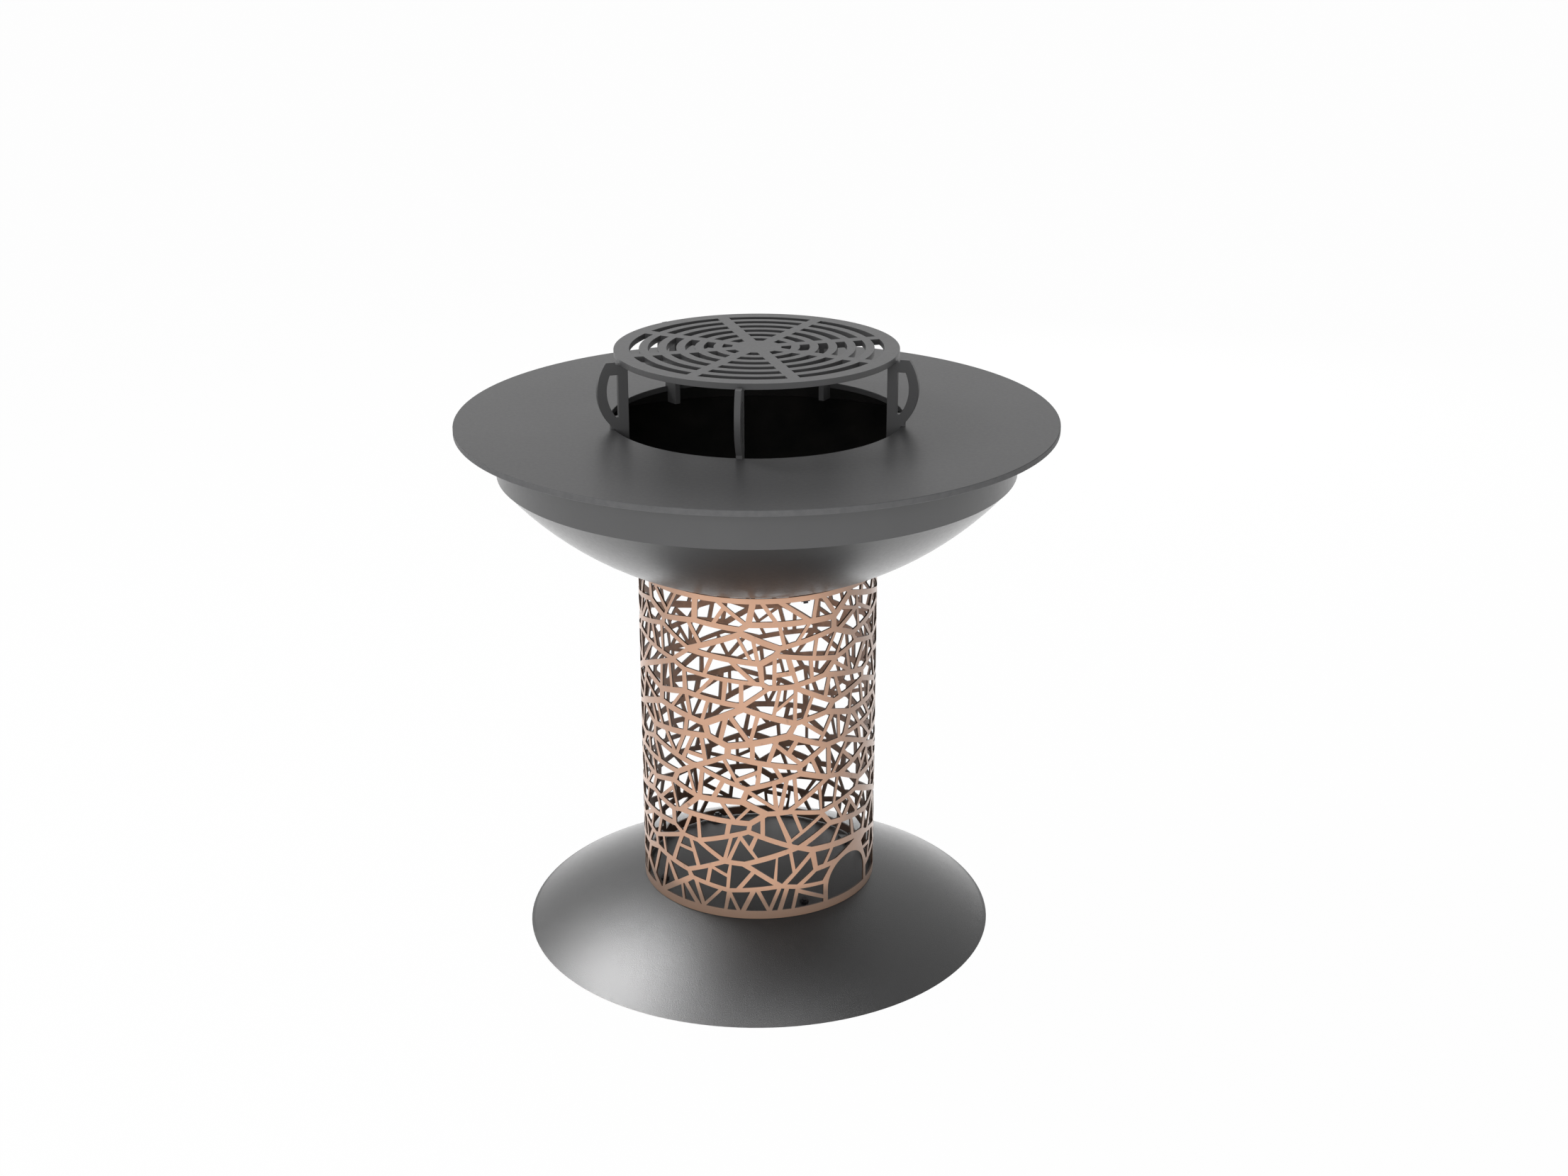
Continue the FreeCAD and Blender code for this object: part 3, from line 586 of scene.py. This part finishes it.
def weld_leg(leg):
    """Two beads in the corners between a leg and the grate."""
    low, high = (Vector(corner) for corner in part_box(leg))
    middle = (low + high) / 2
    outward = Vector((middle.x, middle.y, 0)).normalized()
    sideways = Vector((-outward.y, outward.x, 0)) * (LEG_THICKNESS / 2 + DROP_OUT)
    first_drop = outward * BEAD_END - sideways
    first_drop.z = RIM_UNDERSIDE - DROP_OUT
    bpy.ops.object.select_all(action="DESELECT")
    bpy.ops.mesh.primitive_uv_sphere_add(
        segments=16, ring_count=10, radius=DROP, location=first_drop
    )
    bead = bpy.context.object
    bead.name = leg.replace("leg", "weld")
    bpy.ops.transform.resize(value=DROP_SQUASH)
    bpy.ops.object.transform_apply(location=True, rotation=True, scale=True)
    bpy.ops.object.mode_set(mode="EDIT")
    bpy.ops.mesh.select_all(action="SELECT")
    for _ in range(DROPS - 1):
        copy_drops(outward * -DROP_STEP)
    bpy.ops.mesh.select_all(action="SELECT")
    copy_drops(sideways * 2)
    bpy.ops.object.mode_set(mode="OBJECT")
    melt = bead.modifiers.new("melt", "REMESH")
    melt.mode = "VOXEL"
    melt.voxel_size = SKIN_CELL
    bpy.ops.object.modifier_apply(modifier="melt")
    bpy.ops.object.shade_smooth()
    bead.data.materials.clear()
    bead.data.materials.append(rack_coat)
    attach(bead, "rack")
    return bead


beads = [weld_leg(leg) for leg in LEGS]
print("beads:", {bead.name: len(bead.data.polygons) for bead in beads})

# %% [markdown]
# ## Floor
#
# The picture has a pure white ground. More light would bleach the object, so the floor itself is
# white for the camera and in reflections, mixed with an ordinary white surface that still takes the
# object's shadow. The world is mixed in the same way further down, so two helpers serve both.

# %% Helpers for the floor and the world


def seen_directly(tree):
    """1 for rays from the camera, from a mirror or through glass, 0 for light that spreads."""
    path = tree.nodes.new("ShaderNodeLightPath")
    total = path.outputs["Is Camera Ray"]
    for name in ("Is Glossy Ray", "Is Transmission Ray"):
        either = tree.nodes.new("ShaderNodeMath")
        either.operation = "MAXIMUM"
        tree.links.new(total, either.inputs[0])
        tree.links.new(path.outputs[name], either.inputs[1])
        total = either.outputs[0]
    return total


def mix_shaders(tree, share, lit, white, output):
    """Send one shader to an output where the share is 0, and another where it is 1."""
    mix = tree.nodes.new("ShaderNodeMixShader")
    for place, socket in enumerate((share, lit, white)):
        tree.links.new(socket, mix.inputs[place])
    tree.links.new(mix.outputs[0], tree.nodes[output].inputs["Surface"])


print("floor helpers ready")

# %% White floor
FLOOR_SIZE = 120
FLOOR_COLOUR = (0.9, 0.9, 0.9, 1)
FLOOR_ROUGHNESS = 0.9
WHITE_SHARE = 0.98

bpy.ops.object.select_all(action="DESELECT")
bpy.ops.mesh.primitive_plane_add(size=FLOOR_SIZE, location=(0, 0, 0))
floor = bpy.context.object
floor.name = "studio_floor"

floor_white, floor_surface = start_finish("floor_white")
floor_surface.inputs["Base Color"].default_value = FLOOR_COLOUR
floor_surface.inputs["Roughness"].default_value = FLOOR_ROUGHNESS
floor_tree = floor_white.node_tree
floor_glow = add_node(floor_white, "ShaderNodeEmission", Strength=1.0)
floor_share = combine(floor_white, "MULTIPLY", seen_directly(floor_tree), WHITE_SHARE)
mix_shaders(
    floor_tree, floor_share, floor_surface.outputs[0], floor_glow.outputs[0], "Material Output"
)
floor.data.materials.append(floor_white)
print("floor laid,", FLOOR_SIZE, "m wide")

# %% [markdown]
# ## Light
#
# The picture is lit softly from all round, with one large lamp behind on the left. A pale world
# gives the all-round light: dim where it lights the object, and white where it is seen. Area lamps
# give the rest. Fill lamps in front and behind light the two sides. They are kept out of
# reflections, because the plate and the grate would mirror them as a white glare.

# %% World and lamps
SKY_LIGHT = 0.25
SKY_WHITE = 1.0

world = bpy.data.worlds.new("studio_world")
bpy.context.scene.world = world
world.use_nodes = True
sky_tree = world.node_tree
sky_light = sky_tree.nodes["Background"]
sky_white = sky_tree.nodes.new("ShaderNodeBackground")
for sky, strength in ((sky_light, SKY_LIGHT), (sky_white, SKY_WHITE)):
    sky.inputs["Color"].default_value = (1, 1, 1, 1)
    sky.inputs["Strength"].default_value = strength
mix_shaders(
    sky_tree, seen_directly(sky_tree), sky_light.outputs[0], sky_white.outputs[0], "World Output"
)


def soft_lamp(name, place, target, size, power):
    """Square area lamp that faces a point."""
    bpy.ops.object.light_add(type="AREA", location=place)
    lamp = bpy.context.object
    lamp.name = name
    lamp.data.size = size
    lamp.data.energy = power
    away = lamp.location - Vector(target)
    lamp.rotation_euler = away.to_track_quat("Z", "Y").to_euler()
    return lamp


soft_lamp("lamp_back_left", (-2.0, 0.9, 2.9), target=(-0.1, -0.1, 0.3), size=1.0, power=42)
fill_lamps = [
    soft_lamp("lamp_front", (-0.9, -4.1, 1.7), target=(0, 0, 0.5), size=2.0, power=112),
    soft_lamp("lamp_back", (1.1, 4.0, 1.8), target=(0, 0, 0.5), size=2.0, power=75),
]
for lamp in fill_lamps:
    lamp.visible_glossy = False
print("fill lamps:", [lamp.name for lamp in fill_lamps])

# %% [markdown]
# Photographers also put up white cards that show only as reflections. Here four lamps are hidden
# from diffuse light, so they add gloss and no brightness. One makes the dome's broad highlight and
# two carry it on to the dome's front edge. Where a highlight sits tells where its card stands: the
# line of sight mirrored at that spot points to the card. Light linking lets these three shine on
# the dome alone, as a photographer would shade a card off from the rest. The fourth lies on the
# ground like a light table, and its glow runs up the bowl's sides.

# %% Reflection cards


def shine_card(name, place, target, size, power):
    """Lamp that is seen in reflections only."""
    card = soft_lamp(name, place, target, size, power)
    card.visible_diffuse = False
    card.visible_camera = False
    return card


dome_cards = [
    shine_card("card_back_left", (-1.8, 0.7, 2.5), target=(-0.2, -0.3, 0.03), size=1.4, power=160),
    shine_card("card_front_left", (-1.9, -1.0, 2.3), target=(-0.2, -0.35, 0), size=1.4, power=80),
    shine_card("card_above", (0.1, -1.2, 2.5), target=(0, -0.4, 0), size=1.4, power=52),
]
dome_alone = bpy.data.collections.new("dome_alone")
dome_alone.objects.link(dressed_dome)
for card in dome_cards:
    card.light_linking.receiver_collection = dome_alone
shine_card("card_ground", (0, 0.4, 0.003), target=(0, 0.4, 1), size=6.0, power=130)
bpy.context.scene.view_settings.view_transform = "Standard"
